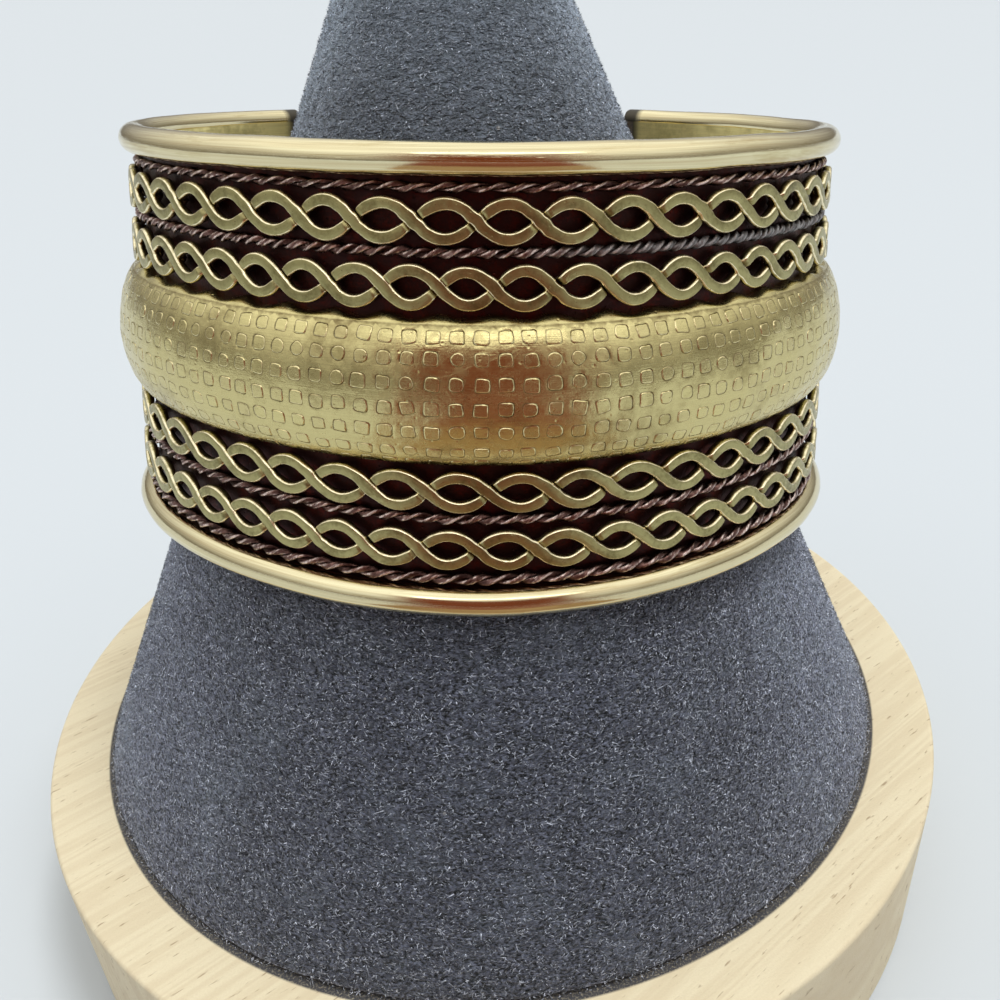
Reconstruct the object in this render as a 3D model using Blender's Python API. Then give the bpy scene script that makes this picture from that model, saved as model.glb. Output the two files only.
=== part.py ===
"""Brass cuff bracelet resting on a suede covered cone stand with a wooden foot.

The cuff is modelled about its own axis, with height counted down from the middle of its
upper rim ("drop") and depth counted inwards from the outer plane of its rims.  An empty
then sets it on the cone, as low as the cone lets it slide.
Units are metres, +Z is up, and the origin is the middle of the foot's underside.
"""
import math

import bmesh
import bpy
import numpy as np
from mathutils import Matrix, Vector

MM = 0.001
CLEARANCE = 0.28 * MM

# Wooden foot
WOOD_RADIUS = 53.0 * MM
WOOD_HEIGHT = 18.0 * MM
WOOD_ROUNDING = 1.2 * MM

# Cone
CONE_FOOT_RADIUS = 46.1 * MM
CONE_HEIGHT = 92.0 * MM
CONE_TIP_RADIUS = 5.0 * MM
CONE_WAIST = 0.15 * MM
CONE_LEAN = math.radians(1.0)

# Cuff outline at the upper rim, seen from above, outside the rim
CUFF_HALF_WIDTH = 34.0 * MM
CUFF_FRONT_DEPTH = 30.4 * MM
CUFF_BACK_DEPTH = 35.2 * MM
SHOULDER_EASE = 0.028
FLARE = 2.86 * MM
END_GAP = 41.5 * MM
END_GAP_SHIFT = -1.2 * MM

# Rims and sheet
RIM_RADIUS = 1.1 * MM
SHEET_DEPTH = 1.85 * MM
SHEET_THICKNESS = 0.6 * MM
BARE_LEDGE = 0.9 * MM
END_BAR_LENGTH = 1.5 * MM
END_BAR_DEPTH = 0.5 * MM

# Rows on the sheet
TWIST_RADIUS = 0.42 * MM
BRAID_HEIGHT = 3.5 * MM
BRAID_DEPTH = 0.55 * MM
STRAND_WIDTH = 1.05 * MM
STRAND_THICKNESS = 0.4 * MM
STRAND_PASS = 0.26 * MM
DOME_HEIGHT = 11.5 * MM
DOME_PROUD = 1.0 * MM
DOME_THICKNESS = 0.65 * MM

# How the cuff lies on the cone
CUFF_SHIFT_X = 3.7 * MM
CUFF_SHIFT_Y = 3.1 * MM
CUFF_PITCH = -0.099
CUFF_ROLL = 0.067

# Eyes of the braids, from the top: distance between neighbours, and the place of one eye
# from the middle of the front, both along the wall
BRAID_EYES = (
    {"pitch": 4.60 * MM, "first": 0.6 * MM},
    {"pitch": 4.25 * MM, "first": -2.4 * MM},
    {"pitch": 4.66 * MM, "first": 1.5 * MM},
    {"pitch": 4.42 * MM, "first": 0.5 * MM},
)

# Facets
TURNED_SIDES = 40
CONE_ROWS = 5
TIP_ROWS = 3
WALL_STATIONS = 42
RIM_STEPS = 8
DOME_STEPS = 7
DOME_INNER_STEPS = 4
TWIST_POINTS = 52
TWIST_BEVEL_RESOLUTION = 2
STEPS_PER_EYE = 4
OUTLINE_STEPS = 1440

BRASS = ((0.62, 0.47, 0.20), 0.32, 1.0)
AGED_BRASS = ((0.45, 0.37, 0.18), 0.40, 1.0)
DARK_COPPER = ((0.20, 0.09, 0.06), 0.50, 1.0)
SUEDE = ((0.10, 0.12, 0.15), 0.95, 0.0)
PALE_WOOD = ((0.68, 0.54, 0.37), 0.60, 0.0)


def row_drops():
    """Drops of the twisted wires, the braids and the dome, and of the lower rim."""
    braid = BRAID_HEIGHT / 2
    dome = DOME_HEIGHT / 2
    twist = TWIST_RADIUS
    drops = []
    edge = RIM_RADIUS
    for half in (twist, braid, twist, braid, dome, braid, twist, braid, twist):
        drops.append(edge + CLEARANCE + half)
        edge = drops[-1] + half
    twists = (drops[0], drops[2], drops[6], drops[8])
    braids = (drops[1], drops[3], drops[5], drops[7])
    return twists, braids, drops[4], edge + BARE_LEDGE + RIM_RADIUS


TWIST_DROPS, BRAID_DROPS, DOME_DROP, RIM_SPAN = row_drops()


def outline_point(angle):
    """Outer plane of the upper rim: two half ellipses with eased shoulders."""
    depth = CUFF_FRONT_DEPTH if math.sin(angle) < 0 else CUFF_BACK_DEPTH
    radius = 1 / math.hypot(math.cos(angle) / CUFF_HALF_WIDTH, math.sin(angle) / depth)
    radius *= 1 - SHOULDER_EASE * math.sin(2 * angle) ** 2
    return Vector((radius * math.cos(angle), radius * math.sin(angle)))


def outline_normal(angle):
    """Unit vector that points out of the cuff, level with its rims."""
    step = math.radians(0.5)
    along = outline_point(angle + step) - outline_point(angle - step)
    return Vector((along.y, -along.x)).normalized()


def outline_table():
    """Angles of the outline, points half-way down the sheet, and lengths from the front."""
    out = FLARE / 2 - SHEET_DEPTH
    angles = np.linspace(-1.5 * math.pi, 0.5 * math.pi, OUTLINE_STEPS + 1)
    points = np.array([outline_point(a) + outline_normal(a) * out for a in angles])
    steps = np.linalg.norm(np.diff(points, axis=0), axis=1)
    lengths = np.concatenate([[0.0], np.cumsum(steps)])
    return angles, points, lengths - np.interp(-math.pi / 2, angles, lengths)


ANGLES, POINTS, LENGTHS = outline_table()


def end_length(side):
    """Place along the wall of its left end (side -1) or right end (side 1)."""
    reach = END_GAP / 2 + side * END_GAP_SHIFT
    behind = (POINTS[:, 1] > 0) & (side * POINTS[:, 0] > 0)
    across = side * POINTS[behind, 0]
    order = np.argsort(across)
    return float(np.interp(reach, across[order], LENGTHS[behind][order]))


WALL_START = end_length(-1)
WALL_END = end_length(1)
ROW_START = WALL_START + END_BAR_LENGTH + CLEARANCE
ROW_END = WALL_END - END_BAR_LENGTH - CLEARANCE


def on_wall(length, drop, depth):
    """A point of the cuff, from its place along the wall, its drop and its depth."""
    angle = float(np.interp(length, LENGTHS, ANGLES))
    out = FLARE * drop / RIM_SPAN - depth
    flat = outline_point(angle) + outline_normal(angle) * out
    return Vector((flat.x, flat.y, -drop))


def cone_side():
    """Angle of the cone's side from upright, and the height at which its tip begins."""
    rise = CONE_HEIGHT - CONE_TIP_RADIUS
    reach = math.hypot(CONE_FOOT_RADIUS, rise)
    angle = math.acos(CONE_TIP_RADIUS / reach) - math.atan2(rise, CONE_FOOT_RADIUS)
    return angle, rise + CONE_TIP_RADIUS * math.sin(angle)


CONE_ANGLE, TIP_START = cone_side()


def cone_radius(height):
    """Radius of the cone's side, which is a little waisted, at a height above its foot."""
    share = height / TIP_START
    waist = CONE_WAIST * 4 * share * (1 - share)
    return CONE_FOOT_RADIUS - height * math.tan(CONE_ANGLE) - waist


def cuff_turn():
    return Matrix.Rotation(CUFF_PITCH, 4, "X") @ Matrix.Rotation(CUFF_ROLL, 4, "Y")


def inner_edge_points():
    """Points round the lower edge of the wall, where it comes nearest to the cone."""
    inner = SHEET_DEPTH + SHEET_THICKNESS
    edge = (
        (RIM_SPAN + RIM_RADIUS, RIM_RADIUS),
        (RIM_SPAN, 2 * RIM_RADIUS),
        (RIM_SPAN - RIM_RADIUS / 2, inner),
    )
    lengths = np.linspace(WALL_START, WALL_END, 2 * WALL_STATIONS)
    return [cuff_turn() @ on_wall(length, *pair) for length in lengths for pair in edge]


def seat_height():
    """Height of the upper rim's middle once the cuff has slid down to its clearance."""
    points = inner_edge_points()
    foot = WOOD_HEIGHT + CLEARANCE

    def room(middle):
        least = CONE_FOOT_RADIUS
        for point in points:
            height = point.z + middle - foot
            x = point.x + CUFF_SHIFT_X - height * math.tan(CONE_LEAN)
            across = math.hypot(x, point.y + CUFF_SHIFT_Y)
            least = min(least, across - cone_radius(height))
        return least

    low = foot + RIM_SPAN
    high = foot + CONE_HEIGHT
    for _ in range(24):
        middle = (low + high) / 2
        if room(middle) < CLEARANCE:
            low = middle
        else:
            high = middle
    return high


def clear_scene():
    for item in list(bpy.data.objects):
        bpy.data.objects.remove(item, do_unlink=True)


def make_material(name, colour, roughness, metallic):
    material = bpy.data.materials.new(name)
    material.use_nodes = True
    shader = material.node_tree.nodes["Principled BSDF"]
    shader.inputs["Base Color"].default_value = (*colour, 1)
    shader.inputs["Roughness"].default_value = roughness
    shader.inputs["Metallic"].default_value = metallic
    return material


def link(name, data, material, parent):
    data.materials.append(material)
    item = bpy.data.objects.new(name, data)
    bpy.context.scene.collection.objects.link(item)
    item.parent = parent
    return item


def add_mesh(name, bm, material, parent=None):
    """Turn a bmesh into a named object, shaded smooth except at its edges."""
    bmesh.ops.recalc_face_normals(bm, faces=bm.faces)
    mesh = bpy.data.meshes.new(name)
    bm.to_mesh(mesh)
    bm.free()
    mesh.shade_smooth()
    mesh.set_sharp_from_angle(angle=math.radians(40))
    return link(name, mesh, material, parent)


def turned(name, profile, lean, material):
    """A solid of revolution through (radius, height) pairs that start and end on its axis."""
    bm = bmesh.new()
    turns = [2 * math.pi * k / TURNED_SIDES for k in range(TURNED_SIDES)]
    rows = []
    for radius, height in profile:
        x = height * math.tan(lean)
        used = turns if radius > 0 else turns[:1]
        rows.append([bm.verts.new((x + radius * math.cos(t), radius * math.sin(t), height)) for t in used])
    for lower, upper in zip(rows, rows[1:]):
        for k in range(TURNED_SIDES):
            after = (k + 1) % TURNED_SIDES
            corners = [lower[k % len(lower)], lower[after % len(lower)]]
            corners += [upper[after % len(upper)], upper[k % len(upper)]]
            bm.faces.new(list(dict.fromkeys(corners)))
    return add_mesh(name, bm, material)


def swept(name, rings, material, parent):
    """A bar through rings of points, with a flat face at each end."""
    bm = bmesh.new()
    loops = [[bm.verts.new(point) for point in ring] for ring in rings]
    for first, second in zip(loops, loops[1:]):
        for k in range(len(first)):
            after = (k + 1) % len(first)
            bm.faces.new((first[k], first[after], second[after], second[k]))
    bm.faces.new(loops[0])
    bm.faces.new(loops[-1])
    return add_mesh(name, bm, material, parent)


def wooden_foot(material):
    middle = WOOD_RADIUS - WOOD_ROUNDING
    turns = [math.radians(a) for a in (0, 45, 90)]
    lower = [(middle + WOOD_ROUNDING * math.sin(t), WOOD_ROUNDING * (1 - math.cos(t))) for t in turns]
    upper = [(radius, WOOD_HEIGHT - height) for radius, height in reversed(lower)]
    turned("stand_foot", [(0, 0), *lower, *upper, (0, WOOD_HEIGHT)], 0, material)


def suede_cone(material):
    heights = [TIP_START * k / CONE_ROWS for k in range(CONE_ROWS + 1)]
    side = [(cone_radius(height), height) for height in heights]
    middle = CONE_HEIGHT - CONE_TIP_RADIUS
    tip = []
    for k in range(1, TIP_ROWS):
        turn = CONE_ANGLE + (math.pi / 2 - CONE_ANGLE) * k / TIP_ROWS
        tip.append((CONE_TIP_RADIUS * math.cos(turn), middle + CONE_TIP_RADIUS * math.sin(turn)))
    cone = turned("stand_cone", [(0, 0), *side, *tip, (0, CONE_HEIGHT)], CONE_LEAN, material)
    cone.location.z = WOOD_HEIGHT + CLEARANCE


def rim_arc(face):
    """The upper rim's outer, top and inner side, as (depth, drop), from the sheet's face."""
    start = math.acos((RIM_RADIUS - face) / RIM_RADIUS)
    turns = [start - (start + math.pi) * k / RIM_STEPS for k in range(RIM_STEPS + 1)]
    return [(RIM_RADIUS - RIM_RADIUS * math.cos(t), RIM_RADIUS * math.sin(t)) for t in turns]


def cuff_wall(material, parent):
    """Sheet with a rim wire along each edge and a closing bar at each end, soldered up."""
    ramp = CLEARANCE / 2
    ends = (WALL_START + END_BAR_LENGTH, WALL_END - END_BAR_LENGTH)
    lengths = [WALL_START, *np.linspace(ends[0], ends[1], WALL_STATIONS), WALL_END]
    lengths += [ends[0] - ramp, ends[1] + ramp]
    inner = SHEET_DEPTH + SHEET_THICKNESS
    rings = []
    for length in sorted(lengths):
        face = SHEET_DEPTH if ends[0] <= length <= ends[1] else END_BAR_DEPTH
        upper = [*rim_arc(face), (inner, RIM_RADIUS / 2)]
        lower = [(depth, RIM_SPAN - drop) for depth, drop in reversed(upper)]
        rings.append([on_wall(length, drop, depth) for depth, drop in upper + lower])
    swept("cuff_wall", rings, material, parent)


def dome_band(material, parent):
    """Domed strip round the middle, hollow behind, with its feet on the sheet."""
    foot = SHEET_DEPTH - CLEARANCE
    half = DOME_HEIGHT / 2
    rise = foot + DOME_PROUD
    section = []
    for inset, steps, sign in ((0, DOME_STEPS, 1), (DOME_THICKNESS, DOME_INNER_STEPS, -1)):
        for k in range(steps + 1):
            turn = math.pi * k / steps
            drop = DOME_DROP - sign * (half - inset) * math.cos(turn)
            section.append((foot - (rise - inset) * math.sin(turn), drop))
    lengths = np.linspace(ROW_START, ROW_END, WALL_STATIONS)
    rings = [[on_wall(length, drop, depth) for depth, drop in section] for length in lengths]
    swept("dome_band", rings, material, parent)


def twist_wire(name, middle, material, parent):
    """Outer form of two thin wires twisted together."""
    curve = bpy.data.curves.new(name, "CURVE")
    curve.dimensions = "3D"
    curve.bevel_depth = TWIST_RADIUS
    curve.bevel_resolution = TWIST_BEVEL_RESOLUTION
    curve.use_fill_caps = True
    spline = curve.splines.new("POLY")
    spline.points.add(TWIST_POINTS - 1)
    depth = SHEET_DEPTH - CLEARANCE - TWIST_RADIUS
    for point, length in zip(spline.points, np.linspace(ROW_START, ROW_END, TWIST_POINTS)):
        point.co = (*on_wall(length, middle, depth), 1)
    link(name, curve, material, parent)


def braid_strand(name, middle, eyes, start_turn, material, parent):
    """One flattened wire of a two wire braid, over its partner on each way down."""
    swing = (BRAID_HEIGHT - STRAND_WIDTH) / 2
    dive = STRAND_THICKNESS + STRAND_PASS
    step = eyes["pitch"] / STEPS_PER_EYE
    margin = STRAND_WIDTH / 2
    first = math.ceil((ROW_START + margin - eyes["first"]) / step)
    last = math.floor((ROW_END - margin - eyes["first"]) / step)
    rings = []
    for k in range(first, last + 1):
        turn = math.pi * k / STEPS_PER_EYE + start_turn
        length = eyes["first"] + k * step
        drop = middle - swing * math.cos(turn)
        slope = swing * math.sin(turn) * math.pi / eyes["pitch"]
        across = STRAND_WIDTH / 2 / math.hypot(1, slope)
        depth = BRAID_DEPTH + dive * ((1 - math.sin(turn)) / 2) ** 2
        ring = []
        for side, layer in ((-1, 0), (1, 0), (1, 1), (-1, 1)):
            place = length + side * across * slope
            ring.append(on_wall(place, drop - side * across, depth + layer * STRAND_THICKNESS))
        rings.append(ring)
    swept(name, rings, material, parent)


def build():
    clear_scene()
    brass = make_material("brass", *BRASS)
    aged = make_material("aged_brass", *AGED_BRASS)
    copper = make_material("dark_copper", *DARK_COPPER)
    wooden_foot(make_material("pale_wood", *PALE_WOOD))
    suede_cone(make_material("grey_suede", *SUEDE))

    seat = bpy.data.objects.new("cuff_seat", None)
    bpy.context.scene.collection.objects.link(seat)
    seat.matrix_world = Matrix.Translation((CUFF_SHIFT_X, CUFF_SHIFT_Y, seat_height())) @ cuff_turn()

    cuff_wall(brass, seat)
    dome_band(brass, seat)
    for row, middle in enumerate(TWIST_DROPS, 1):
        twist_wire(f"twist_wire_{row}", middle, copper, seat)
    for row, (middle, eyes) in enumerate(zip(BRAID_DROPS, BRAID_EYES), 1):
        braid_strand(f"braid_{row}_strand_a", middle, eyes, 0, aged, seat)
        braid_strand(f"braid_{row}_strand_b", middle, eyes, math.pi, aged, seat)


build()
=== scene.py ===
"""Finished look of a brass cuff bracelet on its suede cone stand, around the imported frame.

The cuff's pieces are laid out on its wall: "along" is the length round the wall from the middle
of the front, "drop" counts down from the middle of the upper rim, and "depth" counts inwards
from the outer plane of the rims.  Lengths are metres; texture coordinates are millimetres.
"""
import math

import bpy
import numpy as np
from mathutils import Matrix, Vector, noise


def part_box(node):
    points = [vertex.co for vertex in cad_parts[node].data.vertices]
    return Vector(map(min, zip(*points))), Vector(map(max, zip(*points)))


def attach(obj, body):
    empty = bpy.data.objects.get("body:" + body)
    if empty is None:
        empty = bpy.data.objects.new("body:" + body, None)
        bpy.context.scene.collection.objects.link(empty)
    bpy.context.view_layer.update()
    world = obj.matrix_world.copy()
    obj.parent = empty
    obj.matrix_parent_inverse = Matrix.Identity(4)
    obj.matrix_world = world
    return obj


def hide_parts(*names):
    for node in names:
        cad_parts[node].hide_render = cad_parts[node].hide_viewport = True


MM = 0.001

# Stand
WOOD_RADIUS = 53.0 * MM
WOOD_HEIGHT = 18.0 * MM
WOOD_ROUNDING = 0.5 * MM
CONE_FOOT_RADIUS = 46.1 * MM
CONE_HEIGHT = 92.0 * MM
CONE_TIP_RADIUS = 5.0 * MM
CONE_WAIST = 0.15 * MM
CONE_LEAN = math.radians(1.0)
CLEARANCE = 0.28 * MM

# Cuff outline, as in the frame
CUFF_HALF_WIDTH = 34.0 * MM
CUFF_FRONT_DEPTH = 30.4 * MM
CUFF_BACK_DEPTH = 35.2 * MM
SHOULDER_EASE = 0.028
FLARE = 2.86 * MM
END_GAP = 41.5 * MM
END_GAP_SHIFT = -1.2 * MM
CUFF_SHIFT_X = 3.7 * MM
CUFF_SHIFT_Y = 3.1 * MM
CUFF_PITCH = -0.099
CUFF_ROLL = 0.067

# Rims, sheet and rows of ornament
RIM_RADIUS = 1.1 * MM
RIM_WIRE_RADIUS = 1.22 * MM
SHEET_DEPTH = 1.85 * MM
SHEET_THICKNESS = 0.6 * MM
BARE_LEDGE = 0.9 * MM
END_BAR_LENGTH = 1.5 * MM
END_BAR_DEPTH = 0.5 * MM
SOLDER_REACH = 2.6 * MM
SOLDER_FADE = 0.9 * MM
TWIST_RADIUS = 0.42 * MM
BRAID_HEIGHT = 3.5 * MM
BRAID_DEPTH = 0.55 * MM
STRAND_WIDTH = 1.05 * MM
DOME_HEIGHT = 11.5 * MM
DOME_PROUD = 1.0 * MM

# Eyes of the braids, from the top
BRAID_EYES = (
    {"pitch": 4.60 * MM, "first": 0.6 * MM},
    {"pitch": 4.25 * MM, "first": -2.4 * MM},
    {"pitch": 4.66 * MM, "first": 1.5 * MM},
    {"pitch": 4.42 * MM, "first": 0.5 * MM},
)

# Twisted wires, from the top: length of one full turn, how thick the pair is, and how much
# the solderer's flame has greyed its right side
TWISTS = (
    {"pitch": 4.0 * MM, "radius": 0.40 * MM, "heated": 0.0},
    {"pitch": 2.8 * MM, "radius": 0.45 * MM, "heated": 1.0},
    {"pitch": 3.2 * MM, "radius": 0.46 * MM, "heated": 0.0},
    {"pitch": 3.7 * MM, "radius": 0.50 * MM, "heated": 0.0},
)
HEAT_START = 2 * MM
HEAT_RISE = 18 * MM

# How far each finished row has settled from its place in the frame
SETTLED = {
    "rims": (0.08 * MM, -0.22 * MM),
    "twists": (0.20 * MM, -0.18 * MM, 0.0, 0.30 * MM),
    "braids": (0.0, -0.20 * MM, 0.0, 0.0),
    "dome": -0.10 * MM,
}

# Section of a flattened strand: across as a share of half its width, below its face in
# millimetres or as a share of its thickness, and how much of the edge shows there, which the
# brass lightens as rub wear and painted highlight
STRAND_SECTION = (
    {"across": -0.66, "below": 0.00, "deep": 0.00, "edge": 0.0},
    {"across": 0.00, "below": -0.010, "deep": 0.00, "edge": 0.0},
    {"across": 0.66, "below": 0.00, "deep": 0.00, "edge": 0.0},
    {"across": 0.76, "below": 0.015, "deep": 0.00, "edge": 1.0},
    {"across": 0.97, "below": 0.14, "deep": 0.00, "edge": 0.8},
    {"across": 1.00, "below": 0.05, "deep": 0.50, "edge": 0.1},
    {"across": 0.72, "below": 0.00, "deep": 1.00, "edge": 0.0},
    {"across": -0.72, "below": 0.00, "deep": 1.00, "edge": 0.0},
    {"across": -1.00, "below": 0.05, "deep": 0.50, "edge": 0.1},
    {"across": -0.97, "below": 0.14, "deep": 0.00, "edge": 0.8},
    {"across": -0.76, "below": 0.015, "deep": 0.00, "edge": 1.0},
)

# Rows of stamped marks: how far round the dome from its upper edge, half a mark's height, and
# how square it is, from 2 for an ellipse up
MARK_ROWS = (
    {"place": 2.18 * MM, "half": 0.53 * MM, "square": 5.0},
    {"place": 3.76 * MM, "half": 0.54 * MM, "square": 2.7},
    {"place": 5.56 * MM, "half": 0.55 * MM, "square": 3.4},
    {"place": 7.45 * MM, "half": 0.55 * MM, "square": 4.6},
    {"place": 9.27 * MM, "half": 0.52 * MM, "square": 4.2},
    {"place": 11.08 * MM, "half": 0.48 * MM, "square": 4.6},
    {"place": 12.40 * MM, "half": 0.40 * MM, "square": 4.6},
)
MARK_PITCH = 1.71 * MM
MARK_HALF_WIDTH = 0.55 * MM
MARK_PHASE = 0.32 * MM
MARKS_START = MARK_ROWS[0]["place"] - 0.88 * MM
MARKS_END = MARK_ROWS[-1]["place"] + 0.62 * MM
GROOVE_DEPTH = 0.075 * MM
CHASED_DEPTH = 0.035 * MM

# Rings of grid points round the middle of a mark: size as a share of the mark, height as a share
# of the pad's height or of the groove's depth, and what the finish shows there: crests lightened by
# rub wear and painted highlight, recesses darkened by dirt and painted shade, and where the worked edges tilt
MARK_RINGS = (
    {"size": 0.80, "pad": 1.0, "cut": 0.0, "crest": 0.0, "recess": 0.0, "worked": 0.0},
    {"size": 0.90, "pad": 0.9, "cut": 0.0, "crest": 1.0, "recess": 0.0, "worked": 1.0},
    {"size": 0.98, "pad": 0.0, "cut": 1.0, "crest": 0.0, "recess": 1.0, "worked": 1.0},
    {"size": 1.06, "pad": 0.0, "cut": 0.0, "crest": 0.0, "recess": 0.25, "worked": 0.3},
)
MARK_HALF_STEPS = len(MARK_RINGS) + 1
MARK_STEPS = 2 * MARK_HALF_STEPS
LINES_ABOVE_MARKS = 7
LINES_BELOW_MARKS = 6
LINES_BEFORE_MARKS = 2


def curved_length(turns, across, out):
    """Length round a half ellipse up to each turn."""
    steps = np.hypot(np.diff(across * np.cos(turns)), np.diff(out * np.sin(turns)))
    return np.concatenate([[0.0], np.cumsum(steps)])


def outline_point(angle):
    """Outer plane of the upper rim: two half ellipses with eased shoulders."""
    depth = np.where(np.sin(angle) < 0, CUFF_FRONT_DEPTH, CUFF_BACK_DEPTH)
    radius = 1 / np.hypot(np.cos(angle) / CUFF_HALF_WIDTH, np.sin(angle) / depth)
    radius = radius * (1 - SHOULDER_EASE * np.sin(2 * angle) ** 2)
    return np.stack([radius * np.cos(angle), radius * np.sin(angle)], -1)


def outline_normal(angle):
    """Unit vectors that point out of the cuff, level with its rims."""
    step = math.radians(0.5)
    run = outline_point(angle + step) - outline_point(angle - step)
    out = np.stack([run[..., 1], -run[..., 0]], -1)
    return out / np.linalg.norm(out, axis=-1, keepdims=True)


def row_drops():
    """Drops of the twisted wires, the braids and the dome, and of the lower rim."""
    braid = BRAID_HEIGHT / 2
    dome = DOME_HEIGHT / 2
    twist = TWIST_RADIUS
    drops = []
    edge = RIM_RADIUS
    for half in (twist, braid, twist, braid, dome, braid, twist, braid, twist):
        drops.append(edge + CLEARANCE + half)
        edge = drops[-1] + half
    twists = (drops[0], drops[2], drops[6], drops[8])
    braids = (drops[1], drops[3], drops[5], drops[7])
    return twists, braids, drops[4], edge + BARE_LEDGE + RIM_RADIUS


TWIST_DROPS, BRAID_DROPS, DOME_DROP, RIM_SPAN = row_drops()
OUTLINE_STEPS = 2880
ANGLES = np.linspace(-1.5 * math.pi, 0.5 * math.pi, OUTLINE_STEPS + 1)
MIDDLE_LINE = outline_point(ANGLES) + outline_normal(ANGLES) * (FLARE / 2 - SHEET_DEPTH)
LENGTHS = np.concatenate([[0.0], np.cumsum(np.linalg.norm(np.diff(MIDDLE_LINE, axis=0), axis=1))])
LENGTHS = LENGTHS - np.interp(-math.pi / 2, ANGLES, LENGTHS)


def end_length(side):
    """Place along the wall of its left end (side -1) or right end (side 1)."""
    reach = END_GAP / 2 + side * END_GAP_SHIFT
    behind = (MIDDLE_LINE[:, 1] > 0) & (side * MIDDLE_LINE[:, 0] > 0)
    across = side * MIDDLE_LINE[behind, 0]
    order = np.argsort(across)
    return float(np.interp(reach, across[order], LENGTHS[behind][order]))


WALL_START = end_length(-1)
WALL_END = end_length(1)
ROW_START = WALL_START + END_BAR_LENGTH + CLEARANCE
ROW_END = WALL_END - END_BAR_LENGTH - CLEARANCE
TURN = np.array(Matrix.Rotation(CUFF_PITCH, 3, "X") @ Matrix.Rotation(CUFF_ROLL, 3, "Y"))

# The dome's section is a half ellipse that stands on the sheet.
DOME_FOOT = SHEET_DEPTH - CLEARANCE
DOME_REACH = DOME_FOOT + DOME_PROUD
DOME_TURNS = np.linspace(0, math.pi, 400)
DOME_LENGTHS = curved_length(DOME_TURNS, DOME_HEIGHT / 2, DOME_REACH)


def on_wall(along, drop, depth):
    """Points of the cuff before it is set on the cone, from arrays of wall coordinates."""
    along, drop, depth = np.broadcast_arrays(along, drop, depth)
    angle = np.interp(along, LENGTHS, ANGLES)
    out = FLARE * drop / RIM_SPAN - depth
    flat = outline_point(angle) + outline_normal(angle) * out[..., None]
    return np.concatenate([flat, -drop[..., None]], -1)


def seat_place():
    """Where the middle of the upper rim comes to lie, from the height of the frame's own wall."""
    low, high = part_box("cuff_wall")
    along = np.linspace(WALL_START, WALL_END, 200)[:, None]
    turns = np.linspace(0, 2 * math.pi, 24)
    rim = RIM_RADIUS * np.sin(turns)
    depth = RIM_RADIUS * (1 - np.cos(turns))
    rims = on_wall(along, np.concatenate([rim, RIM_SPAN + rim]), np.tile(depth, 2))
    heights = (rims @ TURN.T)[..., 2]
    middle = (low.z + high.z) / 2 - (heights.min() + heights.max()) / 2
    return np.array([CUFF_SHIFT_X, CUFF_SHIFT_Y, middle])


def wander(along, wave, seed):
    """Smooth irregular wave, about -1 to 1, such as handwork leaves along a wire."""
    rng = np.random.default_rng(seed)
    total = 0.0
    for _ in range(4):
        total = total + np.sin(2 * math.pi * along / (wave * rng.uniform(0.6, 1.8)) + rng.uniform(0, 6.28))
    return total / 2.5


# Mesh making

def quads(rows, columns, closed=False):
    """Faces of a grid of points that is stored row after row."""
    row = np.arange(rows - 1)[:, None] * columns
    column = np.arange(columns if closed else columns - 1)[None, :]
    after = (column + 1) % columns
    corners = [row + column, row + after, row + columns + after, row + columns + column]
    return np.stack(corners, -1).reshape(-1, 4)


def swept_faces(rings, sides):
    """Faces of a closed bar, with a flat face at each end."""
    faces = quads(rings, sides, closed=True).tolist()
    faces.append(list(range(sides))[::-1])
    faces.append(list(range((rings - 1) * sides, rings * sides)))
    return faces


def grid_normals(points):
    """Unit normals of a grid of points, on the side that faces out of the cuff."""
    normals = np.cross(np.gradient(points, axis=1), np.gradient(points, axis=0))
    return normals / np.maximum(np.linalg.norm(normals, axis=-1, keepdims=True), 1e-12)


def wall_layer(along, across, apart):
    """Surface coordinates in millimetres; apart keeps the grain of each piece its own."""
    return np.stack([along + 0 * across, across + 0 * along, apart + 0 * (along + across)], -1) / MM


def make_piece(name, points, faces, materials, wall=None, finish=None):
    """A smooth mesh object; wall and finish are its surface coordinates and its wear, the finish also holding
    masks for painted highlight and painted shade.
    """
    mesh = bpy.data.meshes.new(name)
    mesh.from_pydata(np.reshape(points, (-1, 3)).tolist(), [], [list(face) for face in faces])
    for label, values in (("wall", wall), ("finish", finish)):
        if values is not None:
            layer = mesh.attributes.new(label, "FLOAT_VECTOR", "POINT")
            layer.data.foreach_set("vector", np.asarray(values, np.float32).ravel())
    mesh.shade_smooth()
    for material in materials:
        mesh.materials.append(material)
    item = bpy.data.objects.new(name, mesh)
    bpy.context.scene.collection.objects.link(item)
    return item


def dress(item, slot, *nodes):
    """Let a finished piece stand for its nodes of the frame."""
    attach(item, "root")
    if nodes:
        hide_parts(*nodes)


def seated(points):
    """Points of the cuff, set on the cone."""
    return points @ TURN.T + SEAT


# Cuff pieces

def soldered_ends(along):
    """Dark solder that has run over the last stretch of the metal at each end."""
    from_end = np.minimum(along - WALL_START, WALL_END - along)
    return np.clip((SOLDER_REACH - from_end) / SOLDER_FADE, 0, 1)


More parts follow.
